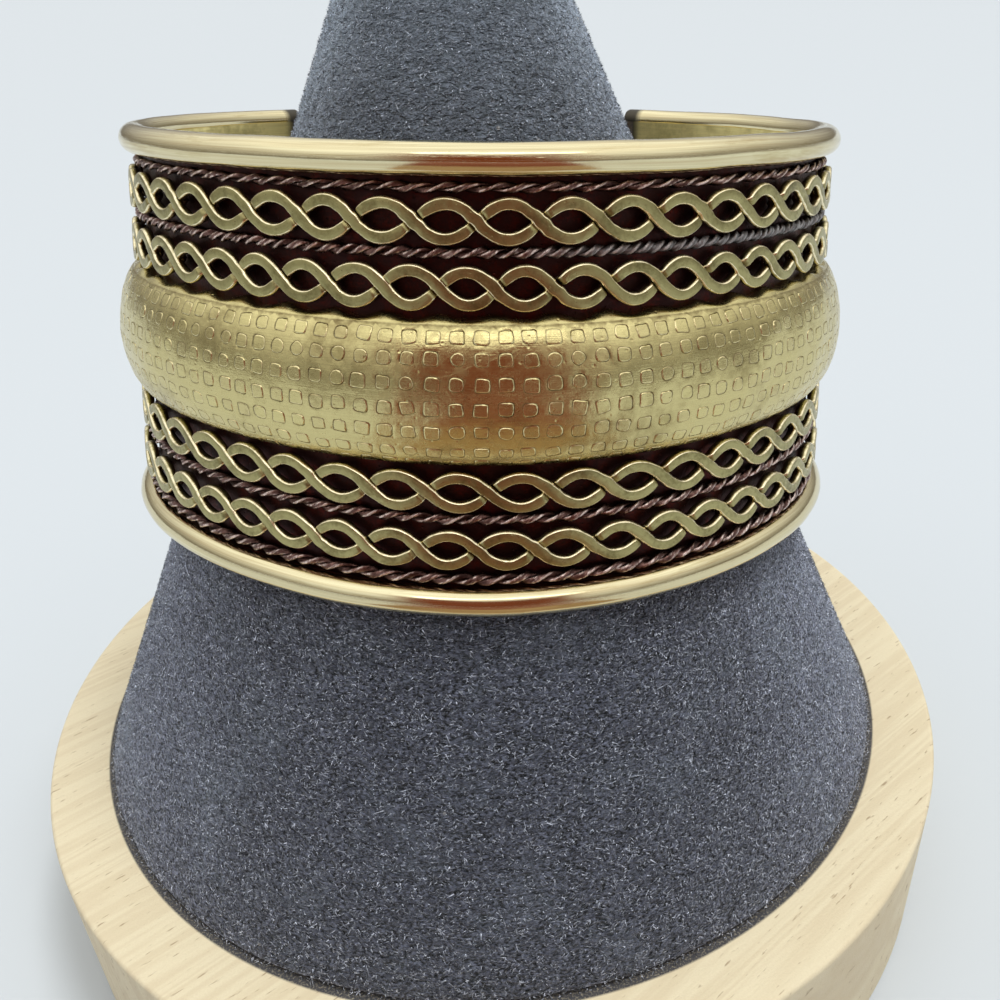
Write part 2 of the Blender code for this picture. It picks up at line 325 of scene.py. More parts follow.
def rim_wire(name, middle, seed, material):
    """Polished rim of round wire, a little uneven by hand, with softened ends."""
    stations, sides = 480, 22
    unevenness, undersize = 0.012, 0.01
    softened, end_size = 0.35 * MM, 0.82
    half_length = (WALL_END - WALL_START) / 2
    eased = np.sin(np.linspace(-1, 1, stations)[:, None] * math.pi / 2)
    along = WALL_START + half_length + half_length * eased
    turns = 2 * math.pi * np.arange(sides)[None, :] / sides
    radius = RIM_WIRE_RADIUS * (1 + unevenness * wander(along, 9 * MM, seed) - undersize)
    ends = np.minimum(along - WALL_START, WALL_END - along) / softened
    radius = radius * (end_size + (1 - end_size) * np.sqrt(np.clip(ends, 0, 1)))
    sway = 0.03 * MM * wander(along, 16 * MM, seed + 1)
    drop = middle + radius * np.sin(turns) + sway
    points = seated(on_wall(along, drop, RIM_RADIUS - radius * np.cos(turns)))
    wall = wall_layer(along, RIM_WIRE_RADIUS * turns, seed * MM)
    plain = 0 * (along + turns)
    finish = np.stack([soldered_ends(along) + plain, plain, plain], -1)
    return make_piece(name, points, swept_faces(stations, sides), [material], wall, finish)


def cuff_sheet(outer, inner, bar):
    """Dark sheet between the rims, its bright inside, and the closing bar at each end."""
    outside, inside = 30, 12
    along_bar, along_sheet = 7, 330
    ramp = 0.05 * MM
    tuck = RIM_RADIUS * 0.55
    lip = 0.2 * MM
    ends = (WALL_START + END_BAR_LENGTH, WALL_END - END_BAR_LENGTH)
    along = np.concatenate([
        np.linspace(WALL_START, ends[0] - ramp, along_bar),
        np.linspace(ends[0], ends[1], along_sheet),
        np.linspace(ends[1] + ramp, WALL_END, along_bar),
    ])[:, None]
    down = np.linspace(tuck, RIM_SPAN - tuck, outside)
    up = np.linspace(RIM_SPAN - lip, lip, inside)
    drop = np.concatenate([down, up])[None, :]
    in_bar = (along < ends[0] - ramp / 2) | (along > ends[1] + ramp / 2)
    face = np.where(in_bar, END_BAR_DEPTH, SHEET_DEPTH)
    front = np.arange(outside + inside)[None, :] < outside
    ripple = 0.05 * MM * wander(along + 0.6 * drop, 7 * MM, 3)
    depth = np.where(front, face + ripple, SHEET_DEPTH + SHEET_THICKNESS + ripple)
    points = seated(on_wall(along, drop, depth))
    wall = wall_layer(along, drop, np.where(front, 0.0, 90 * MM))
    plain = 0 * (along + drop)
    finish = np.stack([soldered_ends(along) + plain, plain, plain], -1)
    sides = outside + inside
    item = make_piece("cuff_sheet", points, swept_faces(len(along), sides), [outer, inner, bar], wall, finish)
    for polygon in item.data.polygons:
        station, side = divmod(polygon.vertices[0], sides)
        middle = along[station, 0] + lip
        if not ends[0] - ramp < middle < ends[1]:
            polygon.material_index = 2
        elif side >= outside:
            polygon.material_index = 1
    item.data.set_sharp_from_angle(angle=math.radians(50))
    return item


def twisted_wire(name, middle, twist, seed, material):
    """Two strands twisted together, each itself a bundle of three drawn wires."""
    sides, per_turn = 12, 18
    trim = 0.2 * MM
    wires, groove, wires_turn = 3, 0.20, 0.35
    pitch, thick = twist["pitch"], twist["radius"]
    wire = thick * 0.52
    offset = thick - wire
    stations = int((ROW_END - ROW_START) / pitch * per_turn)
    along = np.linspace(ROW_START + trim, ROW_END - trim, stations)
    heated = twist["heated"] * np.clip((along - HEAT_START) / HEAT_RISE, 0, 1) ** 0.5
    pace = (1 + 0.10 * wander(along, 14 * MM, seed)) * (1 + 0.35 * heated)
    phase = np.cumsum(pace) * (along[1] - along[0]) * 2 * math.pi / pitch + seed
    sway = 0.035 * MM * wander(along, 6 * MM, seed + 20)
    ring = 2 * math.pi * np.arange(sides) / sides
    bundle = 1 + groove * np.cos(wires * (ring[None, :] + wires_turn * phase[:, None]))
    out = wire * bundle * np.cos(ring)
    side = wire * bundle * np.sin(ring)
    points, faces, wall, finish = [], [], [], []
    for strand in (0, 1):
        turn = phase + math.pi * strand
        slope = np.gradient(turn, along) * offset
        lean = (slope / np.hypot(1, slope))[:, None]
        centre_drop = middle - offset * np.sin(turn) + sway
        centre_depth = SHEET_DEPTH - thick - offset * np.cos(turn)
        cos, sin = np.cos(turn)[:, None], np.sin(turn)[:, None]
        across = side * np.sqrt(1 - lean ** 2)
        drop = centre_drop[:, None] - out * sin - across * cos
        depth = centre_depth[:, None] - out * cos + across * sin
        place = along[:, None] - side * lean
        points.append(seated(on_wall(place, drop, depth)).reshape(-1, 3))
        wall.append(wall_layer(place, ring * wire, seed * 3 * MM).reshape(-1, 3))
        height = np.clip((SHEET_DEPTH - depth) / (2 * thick), 0, 1)
        ridge = np.clip((bundle - 0.86) / 0.3, 0, 1)
        # Masks for the copper: the crown is lightened as rub wear and painted highlight, and the recess, all
        # but the crown, is darkened as dirt and painted shade.
        crown = np.clip((height - 0.52) / 0.34, 0, 1)
        recess = 1 - crown * (0.4 + 0.6 * ridge)
        marks = [crown * (0.3 + 0.7 * ridge), recess, heated[:, None] + 0 * place]
        finish.append(np.stack(marks, -1).reshape(-1, 3))
        start = strand * stations * sides
        faces += [[corner + start for corner in face] for face in swept_faces(stations, sides)]
    return make_piece(name, np.concatenate(points), faces, [material],
                      np.concatenate(wall), np.concatenate(finish))


def braid_strand(name, middle, eyes, start_turn, seed, material):
    """One flattened wire of a braid: filed flat where it lies over its partner, dipping below."""
    per_eye = 28
    dip, dip_thinning, file_thinning = 0.60 * MM, 0.26 * MM, 0.22 * MM
    strand_thickness = 0.80 * MM
    swing = (BRAID_HEIGHT - STRAND_WIDTH) / 2
    margin = STRAND_WIDTH / 2
    stations = int((ROW_END - ROW_START) / eyes["pitch"] * per_eye)
    along = np.linspace(ROW_START + margin, ROW_END - margin, stations)
    drift = 0.10 * MM * wander(along, 12 * MM, seed)
    turn = math.pi * (along + drift - eyes["first"]) / eyes["pitch"] + start_turn
    wave = np.cos(turn) * (1 + 0.10 * np.sin(turn) ** 2)
    drop = middle - swing * wave * (1 + 0.03 * wander(along, 8 * MM, seed + 1))
    slope = np.gradient(drop, along)
    # The strand is over its partner where the sine is high, and under it where it is low.
    over = np.clip(np.sin(turn), 0, 1) ** 4
    under = np.clip((-np.sin(turn) - 0.93) / 0.06, 0, 1)
    under = under * under * (3 - 2 * under)
    closing = np.clip((-np.sin(turn) - 0.78) / 0.14, 0, 1)
    depth = BRAID_DEPTH + dip * under + 0.03 * MM * wander(along, 10 * MM, seed + 2)
    thick = strand_thickness - file_thinning * over - dip_thinning * under
    half = STRAND_WIDTH / 2 * (0.90 + 0.05 * wander(along, 3 * MM, seed + 3))
    bulge = over ** 2 * (0.13 + 0.07 * wander(along, 5 * MM, seed + 4))
    kink = 0.06 * MM * over * wander(along, 1.1 * MM, seed + 5)
    half = half * (1 + bulge) - 0.06 * MM * closing ** 1.5
    run = np.hypot(1, slope)
    rings, marks, walls = [], [], []
    for row in STRAND_SECTION:
        reach = half * row["across"] + kink
        place = along - reach * slope / run
        rings.append(on_wall(place, drop + reach / run, depth + row["below"] * MM + row["deep"] * thick))
        walls.append(wall_layer(along, reach, seed * 2 * MM))
        # The buried mask darkens the strand with dirt and painted shade where it dips under its partner; the
        # edge mask lightens it with rub wear and painted highlight.
        buried = np.clip(row["deep"] + under + 0.30 * closing, 0, 1)
        marks.append(np.stack([np.full_like(along, row["edge"]), buried, 0 * along], -1))
    points = seated(np.stack(rings, 1))
    faces = swept_faces(stations, len(STRAND_SECTION))
    return make_piece(name, points, faces, [material], np.stack(walls, 1), np.stack(marks, 1))


def struck_mark(rng):
    """How one mark of the stamp came out: its place, size, shape, lean, depth and tone."""
    return {
        "x": rng.normal(0, 0.045) * MM, "y": rng.normal(0, 0.045) * MM,
        "size": rng.uniform(0.92, 1.07), "square": rng.uniform(0.6, 1.9),
        "twist": rng.normal(0, 0.07), "lump": rng.uniform(0, 6.28),
        "lean": rng.uniform(0, 6.28), "deep": rng.uniform(0.6, 1.4),
        "top": rng.uniform(0.004, 0.020) * MM, "tone": rng.uniform(-1, 1),
    }


def mark_outline(mark, row, ring, turn):
    """Offsets and height of one ring of grid points round the middle of a mark."""
    square = row["square"] * mark["square"]
    reach = (np.abs(np.cos(turn)) ** square + np.abs(np.sin(turn)) ** square) ** (-1 / square)
    reach = reach * (1 + 0.04 * np.sin(3 * turn + mark["lump"])) * ring["size"] * mark["size"]
    x = reach * np.cos(turn) * MARK_HALF_WIDTH
    y = reach * np.sin(turn) * row["half"]
    cos, sin = math.cos(mark["twist"]), math.sin(mark["twist"])
    tilt = np.maximum(1 + 0.85 * np.cos(turn - mark["lean"]), 0.15)
    height = mark["top"] * ring["pad"] - GROOVE_DEPTH * tilt * mark["deep"] * ring["cut"]
    return mark["x"] + x * cos - y * sin, mark["y"] + x * sin + y * cos, height


def dome_lines():
    """Grid lines of the dome, round its section and along the wall, and its cells along."""
    places = [row["place"] for row in MARK_ROWS]
    between = [(a + b) / 2 for a, b in zip(places, places[1:])]
    borders = [MARKS_START, *between, MARKS_END]
    section = list(np.linspace(0, MARKS_START, LINES_ABOVE_MARKS, endpoint=False))
    for low, high in zip(borders, borders[1:]):
        section += list(np.linspace(low, high, MARK_STEPS, endpoint=False))
    section += list(np.linspace(MARKS_END, DOME_LENGTHS[-1], LINES_BELOW_MARKS))
    first = math.ceil((ROW_START - MARK_PHASE) / MARK_PITCH + 0.5)
    last = math.floor((ROW_END - MARK_PHASE) / MARK_PITCH - 0.5)
    cells = last + 1 - first
    left = MARK_PHASE + (first - 0.5) * MARK_PITCH
    right = MARK_PHASE + (last + 0.5) * MARK_PITCH
    columns = [ROW_START, (ROW_START + left) / 2]
    columns += list(np.linspace(left, right, cells * MARK_STEPS + 1))
    columns += [(ROW_END + right) / 2, ROW_END]
    return np.array(section), np.array(columns), cells


def stamped_grid():
    """Layers of the dome's grid with every mark struck in it: place, height, and masks for wear, dirt,
    painted highlight and painted shade.
    """
    section, columns, cells = dome_lines()
    grid = {
        "along": np.repeat(columns[:, None], len(section), 1),
        "place": np.repeat(section[None, :], len(columns), 0),
    }
    for layer in ("height", "crest", "recess", "worked", "tone"):
        grid[layer] = np.zeros_like(grid["along"])
    count = np.arange(-MARK_HALF_STEPS, MARK_HALF_STEPS + 1)
    a, b = np.meshgrid(count, count, indexing="ij")
    steps_out = np.maximum(abs(a), abs(b))
    turn = np.arctan2(b, a)
    rng = np.random.default_rng(11)
    for cell in range(cells):
        x0 = LINES_BEFORE_MARKS + cell * MARK_STEPS
        centre = (columns[x0] + columns[x0 + MARK_STEPS]) / 2
        for number, row in enumerate(MARK_ROWS):
            y0 = LINES_ABOVE_MARKS + number * MARK_STEPS
            block = np.s_[x0:x0 + MARK_STEPS + 1, y0:y0 + MARK_STEPS + 1]
            mark = struck_mark(rng)
            middle = steps_out == 0
            grid["along"][block][middle] = centre + mark["x"]
            grid["place"][block][middle] = row["place"] + mark["y"]
            grid["height"][block][middle] = mark["top"]
            grid["tone"][block][steps_out < 3] = mark["tone"]
            for ring_number, ring in enumerate(MARK_RINGS, 1):
                here = steps_out == ring_number
                dx, dy, height = mark_outline(mark, row, ring, turn)
                grid["along"][block][here] = centre + dx[here]
                grid["place"][block][here] = row["place"] + dy[here]
                grid["height"][block][here] = (height + 0 * turn)[here]
                for layer in ("crest", "recess", "worked"):
                    grid[layer][block][here] = ring[layer]
    return grid


def dome_skin(material):
    """Domed band with its rows of stamped marks, each a raised pad in a narrow groove."""
    grid = stamped_grid()
    along, place, height, worked = grid["along"], grid["place"], grid["height"], grid["worked"]
    # The upper edge is pressed in a little below each eye of the braid above it.
    eyes = BRAID_EYES[1]
    loops = 0.5 + 0.5 * np.cos(2 * math.pi * (along - eyes["first"]) / eyes["pitch"])
    fade = np.clip(1 - place / MARKS_START, 0, 1)
    scallop = fade * (0.40 * MM * loops + 0.07 * MM * wander(along, 5 * MM, 5))
    # A chased line runs above the marks.
    chased = LINES_ABOVE_MARKS
    height[:, chased] -= CHASED_DEPTH
    worked[:, chased - 1:chased + 2] = 1
    # The chased line is darkened with dirt and painted shade.
    grid["recess"][:, chased] = 0.8
    place[:, chased] += 0.05 * MM * wander(along[:, chased], 3 * MM, 6)
    round_dome = np.sin(math.pi * np.clip(place / DOME_LENGTHS[-1], 0, 1))
    uneven = 0.05 * MM * wander(along + 0.7 * place, 8 * MM, 7) * round_dome
    t = np.interp(place, DOME_LENGTHS, DOME_TURNS)
    steep = np.hypot(DOME_HEIGHT / 2 * np.sin(t), DOME_REACH * np.cos(t))

    def skin(lift):
        # The edges turn in to the sheet, and the ends are closed.
        drop = DOME_DROP + SETTLED["dome"] - (DOME_HEIGHT / 2 + 0.10 * MM) * np.cos(t) + scallop
        drop = drop - lift * DOME_REACH * np.cos(t) / steep
        depth = DOME_FOOT - DOME_REACH * np.sin(t) - lift * DOME_HEIGHT / 2 * np.sin(t) / steep
        depth = np.pad(depth, 1, constant_values=SHEET_DEPTH)
        return seated(on_wall(np.pad(along, 1, "edge"), np.pad(drop, 1, "edge"), depth))

    points = skin(height + uneven)
    # Pads and the ground between them are shaded level; only the worked edges and grooves tilt.
    share = np.pad(worked, 1, constant_values=1)[..., None]
    normals = grid_normals(points) * share + grid_normals(skin(uneven)) * (1 - share)
    wall = wall_layer(np.pad(along, 1, "edge"), np.pad(place, 1, "edge"), 40 * MM)
    finish = np.stack([np.pad(grid[layer], 1, "edge") for layer in ("crest", "recess", "tone")], -1)
    item = make_piece("dome_skin", points, quads(*share.shape[:2]), [material], wall, finish)
    item.data.normals_split_custom_set_from_vertices(normals.reshape(-1, 3).tolist())
    return item


# Stand pieces

def turned(name, profile, lean, sides, roughen, material):
    """A solid of revolution through (radius, height) pairs that start and end on its axis."""
    profile = np.array(profile)
    turns = 2 * math.pi * np.arange(sides) / sides
    radius, height = profile[1:-1, :1], profile[1:-1, 1:]
    x = radius * np.cos(turns) + height * math.tan(lean)
    points = np.stack([x, radius * np.sin(turns), height + 0 * turns], -1)
    points = roughen(points.reshape(-1, 3))
    ends = [(row[1] * math.tan(lean), 0, row[1]) for row in (profile[0], profile[-1])]
    rows = len(profile) - 2
    faces = quads(rows, sides, closed=True).tolist()
    low, high = rows * sides, rows * sides + 1
    faces += [[(k + 1) % sides, k, low] for k in range(sides)]
    top = (rows - 1) * sides
    faces += [[top + k, top + (k + 1) % sides, high] for k in range(sides)]
    return make_piece(name, np.concatenate([points, ends]), faces, [material])


def cone_side():
    """Angle of the cone's side from upright, and the height at which its tip begins."""
    rise = CONE_HEIGHT - CONE_TIP_RADIUS
    reach = math.hypot(CONE_FOOT_RADIUS, rise)
    angle = math.acos(CONE_TIP_RADIUS / reach) - math.atan2(rise, CONE_FOOT_RADIUS)
    return angle, rise + CONE_TIP_RADIUS * math.sin(angle)


CONE_ANGLE, TIP_START = cone_side()


def cone_radius(height):
    """Radius of the cone's side, which is a little waisted, at a height above its foot."""
    share = height / TIP_START
    return CONE_FOOT_RADIUS - height * math.tan(CONE_ANGLE) - CONE_WAIST * 4 * share * (1 - share)


def bumpy_skin(points):
    """Low bumps, broad and fine, in the stuffing below the suede."""
    broad, fine, sunk = 0.10, 0.04, 0.06
    out = points * (1, 1, 0)
    out = out / np.maximum(np.linalg.norm(out, axis=1, keepdims=True), 1e-9)
    places = [Vector(point) for point in points]
    bumps = np.array([noise.noise(p * 160) * broad + noise.noise(p * 700) * fine for p in places])
    return points + out * (bumps[:, None] - sunk) * MM


def suede_cone(material):
    """Cone covered in suede, drawn in a little at its foot and uneven under the skin."""
    rows, tip_steps, sides = 90, 14, 240
    side = [(cone_radius(h), h) for h in np.linspace(0.5 * MM, TIP_START, rows)]
    middle = CONE_HEIGHT - CONE_TIP_RADIUS
    turns = [CONE_ANGLE + (math.pi / 2 - CONE_ANGLE) * k / tip_steps for k in range(1, tip_steps)]
    tip = [(CONE_TIP_RADIUS * math.cos(turn), middle + CONE_TIP_RADIUS * math.sin(turn)) for turn in turns]
    foot = [(0, 0), (cone_radius(0) - 0.9 * MM, 0), (cone_radius(0) - 0.25 * MM, 0.2 * MM)]
    profile = [*foot, *side, *tip, (0, CONE_HEIGHT)]
    item = turned("suede_cone", profile, CONE_LEAN, sides, bumpy_skin, material)
    item.location.z = WOOD_HEIGHT + CLEARANCE
    return item


def suede_nap(material):
    """Short fibres that stand on the suede, each a single narrow sliver."""
    count = 180000
    rng = np.random.default_rng(23)
    share = rng.uniform(0, 1, count)
    reach = CONE_FOOT_RADIUS ** 2 - share * (CONE_FOOT_RADIUS ** 2 - CONE_TIP_RADIUS ** 2)
    height = TIP_START * (CONE_FOOT_RADIUS - np.sqrt(reach)) / (CONE_FOOT_RADIUS - CONE_TIP_RADIUS)
    turn = rng.uniform(0, 2 * math.pi, count)
    radius = cone_radius(height) - 0.03 * MM
    cos, sin, level = np.cos(turn), np.sin(turn), np.zeros(count)
    out = np.stack([cos, sin, level + math.sin(CONE_ANGLE)], -1)
    around = np.stack([-sin, cos, level], -1)
    upwards = np.cross(out, around)
    root = np.stack([radius * cos + height * math.tan(CONE_LEAN), radius * sin, height], -1)
    # Most fibres lie round the cone, to either side.
    swirl = rng.normal(0, 0.8, (count, 1)) + math.pi * rng.integers(0, 2, (count, 1))
    lie = around * np.cos(swirl) + upwards * np.sin(swirl)
    broad = np.cross(out, lie) * rng.uniform(0.028, 0.060, (count, 1)) * MM
    length = (0.20 + 0.11 * rng.exponential(1.0, (count, 1))) * MM
    tip = root + lie * length + out * rng.uniform(0.06, 0.22, (count, 1)) * MM
    points = np.stack([root - broad, root + broad, tip], 1)
    tone = np.repeat(rng.uniform(0, 1, count) ** 1.3, 3)
    finish = np.stack([tone, 0 * tone, np.ones(3 * count)], -1)
    faces = np.arange(3 * count).reshape(-1, 3).tolist()
    item = make_piece("suede_nap", points, faces, [material], finish=finish)
    item.location.z = WOOD_HEIGHT + CLEARANCE
    return item


def sanded_top(points):
    """Slight hollows that sanding leaves in the upper face of the foot."""
    lift = np.array([noise.noise(Vector((p[0] * 60, p[1] * 25, p[2] * 60))) for p in points])
    top = points[:, 2] > WOOD_HEIGHT - 0.01 * MM
    points[:, 2] -= np.where(top, 0.06 * MM * np.abs(lift), 0)
    return points


def wooden_foot(material):
    """Turned wooden foot with softened edges."""
    sides, side_rows, face_rows = 288, 12, 26
    middle = WOOD_RADIUS - WOOD_ROUNDING
    turns = np.radians(np.arange(0, 91, 15))
    lower = [(middle + WOOD_ROUNDING * math.sin(t), WOOD_ROUNDING * (1 - math.cos(t))) for t in turns]
    upper = [(radius, WOOD_HEIGHT - height) for radius, height in reversed(lower)]
    heights = np.linspace(2 * WOOD_ROUNDING, WOOD_HEIGHT - 2 * WOOD_ROUNDING, side_rows)
    side = [(WOOD_RADIUS, h) for h in heights]
    face = [(r, WOOD_HEIGHT) for r in np.linspace(middle, 30 * MM, face_rows)[1:]]
    profile = [(0, 0), *lower, *side, *upper, *face, (0, WOOD_HEIGHT)]
    return turned("wooden_foot", profile, 0, sides, sanded_top, material)


# Nodes

def add_node(tree, kind, inputs=None, **settings):
    """Add a node, set its properties, and fill or link its inputs."""
    node = tree.nodes.new(kind)
    for name, value in settings.items():
        setattr(node, name, value)
    for name, value in (inputs or {}).items():
        feed(tree, node.inputs[name], value)
    return node


def feed(tree, socket, value):
    """Link another node's output to a socket, or set the socket's own value."""
    if isinstance(value, bpy.types.NodeSocket):
        tree.links.new(value, socket)
    else:
        socket.default_value = value


def maths(tree, operation, *values, clamp=False):
    """One sum on single values."""
    inputs = dict(enumerate(values))
    return add_node(tree, "ShaderNodeMath", inputs, operation=operation, use_clamp=clamp).outputs[0]


def rescale(tree, value, low, high, to_low=0.0, to_high=1.0):
    """Carry a value from one range to another, held inside it."""
    inputs = {"Value": value, "From Min": low, "From Max": high, "To Min": to_low, "To Max": to_high}
    return add_node(tree, "ShaderNodeMapRange", inputs).outputs[0]


def blend(tree, factor, first, second):
    """Mix two colours."""
    return add_node(tree, "ShaderNodeMix", {0: factor, 6: first, 7: second}, data_type="RGBA").outputs[2]


def tint(tree, colour, mask, share, other):
    """Carry a colour a share of the way to another, where a mask says."""
    return blend(tree, maths(tree, "MULTIPLY", mask, share), colour, other)


def stretch(tree, vector, scale):
    """Scale coordinates by a different amount each way."""
    return add_node(tree, "ShaderNodeVectorMath", {0: vector, 1: scale}, operation="MULTIPLY").outputs[0]


def spin(tree, vector, angle):
    """Turn coordinates about the upright axis."""
    inputs = {"Vector": vector, "Angle": angle}
    return add_node(tree, "ShaderNodeVectorRotate", inputs, rotation_type="Z_AXIS").outputs[0]


def grain(tree, vector, scale, detail=3.0, rough=0.5, distortion=0.0):
    """Soft cloudy noise, so many clouds to a millimetre."""
    inputs = {
        "Vector": vector, "Scale": scale, "Detail": detail, "Roughness": rough, "Distortion": distortion,
    }
    return add_node(tree, "ShaderNodeTexNoise", inputs).outputs[0]


def separate(tree, vector):
    """The three parts of a vector."""
    return add_node(tree, "ShaderNodeSeparateXYZ", {0: vector}).outputs


def attribute(tree, name):
    """A vector that a piece carries at its points."""
    return add_node(tree, "ShaderNodeAttribute", attribute_name=name).outputs["Vector"]


def rgb(red, green, blue):
    """An opaque colour."""
    return (red, green, blue, 1.0)


def new_group(name, inputs, outputs):
    """A node group with named sockets, and its two ends."""
    tree = bpy.data.node_groups.new(name, "ShaderNodeTree")
    for label, kind, value in inputs:
        socket = tree.interface.new_socket(name=label, in_out="INPUT", socket_type="NodeSocket" + kind)
        if value is not None:
            socket.default_value = value
    for label in outputs:
        tree.interface.new_socket(name=label, in_out="OUTPUT", socket_type="NodeSocketFloat")
    return tree, tree.nodes.new("NodeGroupInput").outputs, tree.nodes.new("NodeGroupOutput").inputs


def tarnish_group():
    """Patches of tarnish: larger clouds broken up by a finer mottle."""
    tree, given, made = new_group(
        "tarnish",
        [("Vector", "Vector", None), ("Patch Size", "Float", 4.0), ("Coverage", "Float", 0.5)],
        ["Mask", "Mottle"])
    scale = maths(tree, "DIVIDE", 1.0, given["Patch Size"])
    clouds = grain(tree, given["Vector"], scale, 4.0, 0.6)
    fine = grain(tree, given["Vector"], maths(tree, "MULTIPLY", scale, 7.0), 4.0, 0.65)
    mixed = maths(tree, "ADD", maths(tree, "MULTIPLY", clouds, 0.65), maths(tree, "MULTIPLY", fine, 0.35))
    edge = maths(tree, "SUBTRACT", 0.75, maths(tree, "MULTIPLY", given["Coverage"], 0.5))
    top = maths(tree, "ADD", edge, 0.16)
    tree.links.new(rescale(tree, mixed, edge, top), made["Mask"])
    tree.links.new(fine, made["Mottle"])
    return tree


def drawn_lines_group():
    """Fine lines that run along the metal, as drawing, filing and polishing leave them."""
    tree, given, made = new_group(
        "drawn_lines",
        [("Vector", "Vector", None), ("Spacing", "Float", 0.12), ("Length", "Float", 6.0)],
        ["Mask", "Height"])
    along, across, apart = separate(tree, given["Vector"])
    x = maths(tree, "DIVIDE", along, given["Length"])
    y = maths(tree, "DIVIDE", across, given["Spacing"])
    joined = add_node(tree, "ShaderNodeCombineXYZ", {0: x, 1: y, 2: apart}).outputs[0]
    lines = grain(tree, joined, 1.0, 3.0, 0.6)
    tree.links.new(rescale(tree, lines, 0.35, 0.65), made["Mask"])
    tree.links.new(lines, made["Height"])
    return tree


def scratches_group():
    """Sparse hairline scratches in two directions, each a little bent."""
    tree, given, made = new_group(
        "scratches",
        [("Vector", "Vector", None), ("Spacing", "Float", 2.0), ("Width", "Float", 0.02)],
        ["Mask"])
    lines = []
    for turn, stretched in ((0.35, 0.25), (-0.9, 0.3)):
        spun = spin(tree, given["Vector"], turn)
        wobble = add_node(tree, "ShaderNodeTexNoise", {"Vector": spun, "Scale": 0.5}).outputs[1]
        bent = {0: stretch(tree, spun, (stretched, 1.0, 1.0)), 1: stretch(tree, wobble, (0.6, 0.6, 0.6))}
        warped = add_node(tree, "ShaderNodeVectorMath", bent, operation="ADD").outputs[0]
        net = {"Vector": warped, "Scale": maths(tree, "DIVIDE", 1.0, given["Spacing"])}
        cells = add_node(tree, "ShaderNodeTexVoronoi", net, feature="DISTANCE_TO_EDGE").outputs[0]
        thin = maths(tree, "LESS_THAN", cells, given["Width"])
        gaps = rescale(tree, grain(tree, spun, 0.45, 2.0), 0.50, 0.58)
        lines.append(maths(tree, "MULTIPLY", thin, gaps))
    tree.links.new(maths(tree, "MAXIMUM", *lines), made["Mask"])
    return tree


def rubbed_edges_and_highlights_group():
    """Edges lightened by rub wear and painted highlight, where the surface says there is an edge, broken up
    by a mottle.
    """
    tree, given, made = new_group(
        "rubbed_edges_and_highlights",
        [("Edge", "Float", 0.0), ("Vector", "Vector", None), ("Breakup", "Float", 0.4)],
        ["Mask"])
    mottle = grain(tree, given["Vector"], 2.2, 4.0, 0.6)
    lost = maths(tree, "MULTIPLY", rescale(tree, mottle, 0.42, 0.66), given["Breakup"])
    kept = maths(tree, "SUBTRACT", given["Edge"], lost)
    tree.links.new(rescale(tree, kept, 0.25, 0.8), made["Mask"])
    return tree


def grime_and_shade_group():
    """Dark dirt and painted shade in recesses, thinning out on the open surface."""
    tree, given, made = new_group(
        "grime_and_shade",
        [("Recess", "Float", 0.0), ("Vector", "Vector", None), ("Amount", "Float", 0.8)],
        ["Mask"])
    mottle = grain(tree, given["Vector"], 1.6, 5.0, 0.65)
    settled = maths(tree, "ADD", given["Recess"], rescale(tree, mottle, 0.3, 0.7, -0.35, 0.25))
    mask = maths(tree, "MULTIPLY", rescale(tree, settled, 0.2, 0.95), given["Amount"])
    tree.links.new(mask, made["Mask"])
    return tree


def dents_group():
    """Fine unevenness of worked metal, with sparse small pits."""
    tree, given, made = new_group(
        "dents",
        [("Vector", "Vector", None), ("Size", "Float", 1.0)],
        ["Height"])
    scale = maths(tree, "DIVIDE", 1.0, given["Size"])
    broad = grain(tree, given["Vector"], scale, 2.0)
    fine = grain(tree, given["Vector"], maths(tree, "MULTIPLY", scale, 9.0), 4.0, 0.6)
    net = {"Vector": given["Vector"], "Scale": maths(tree, "MULTIPLY", scale, 1.7)}
    pits = add_node(tree, "ShaderNodeTexVoronoi", net).outputs[0]
    pit = rescale(tree, pits, 0.03, 0.16, -0.5, 0.0)
    height = maths(tree, "ADD", broad, maths(tree, "ADD", maths(tree, "MULTIPLY", fine, 0.25), pit))
    tree.links.new(height, made["Height"])
    return tree


def specks_group():
    """Small pale specks of lint and dust, sparse and uneven."""
    tree, given, made = new_group(
        "specks",
        [("Vector", "Vector", None), ("Spacing", "Float", 3.0), ("Size", "Float", 0.05)],
        ["Mask"])
    scale = maths(tree, "DIVIDE", 1.0, given["Spacing"])
    cells = add_node(tree, "ShaderNodeTexVoronoi", {"Vector": given["Vector"], "Scale": scale})
    chance = add_node(tree, "ShaderNodeSeparateColor", {0: cells.outputs["Color"]}).outputs[0]
    near = maths(tree, "LESS_THAN", cells.outputs["Distance"], given["Size"])
    tree.links.new(maths(tree, "MULTIPLY", near, maths(tree, "GREATER_THAN", chance, 0.6)), made["Mask"])
    return tree


def use(tree, group, **inputs):
    """Place a node group, naming its inputs with underscores for spaces."""
    node = add_node(tree, "ShaderNodeGroup", node_tree=group)
    for label, value in inputs.items():
        feed(tree, node.inputs[label.replace("_", " ")], value)
    return node.outputs


# Materials

def new_material(name, **constants):
    """A material with its nodes and its shader, whose sockets may be given fixed values."""
    material = bpy.data.materials.new(name)
    material.use_nodes = True
    shader = material.node_tree.nodes["Principled BSDF"]
    for label, value in constants.items():
        shader.inputs[label.replace("_", " ")].default_value = value
    return material, material.node_tree, shader.inputs


def bumped(tree, sockets, *layers):
    """Feed the shader a normal from several heights, each with its strength and real depth."""
    normal = None
    for height, strength, distance in layers:
        inputs = {"Height": height, "Strength": strength, "Distance": distance}
        if normal is not None:
            inputs["Normal"] = normal
        normal = add_node(tree, "ShaderNodeBump", inputs).outputs[0]
    tree.links.new(normal, sockets["Normal"])


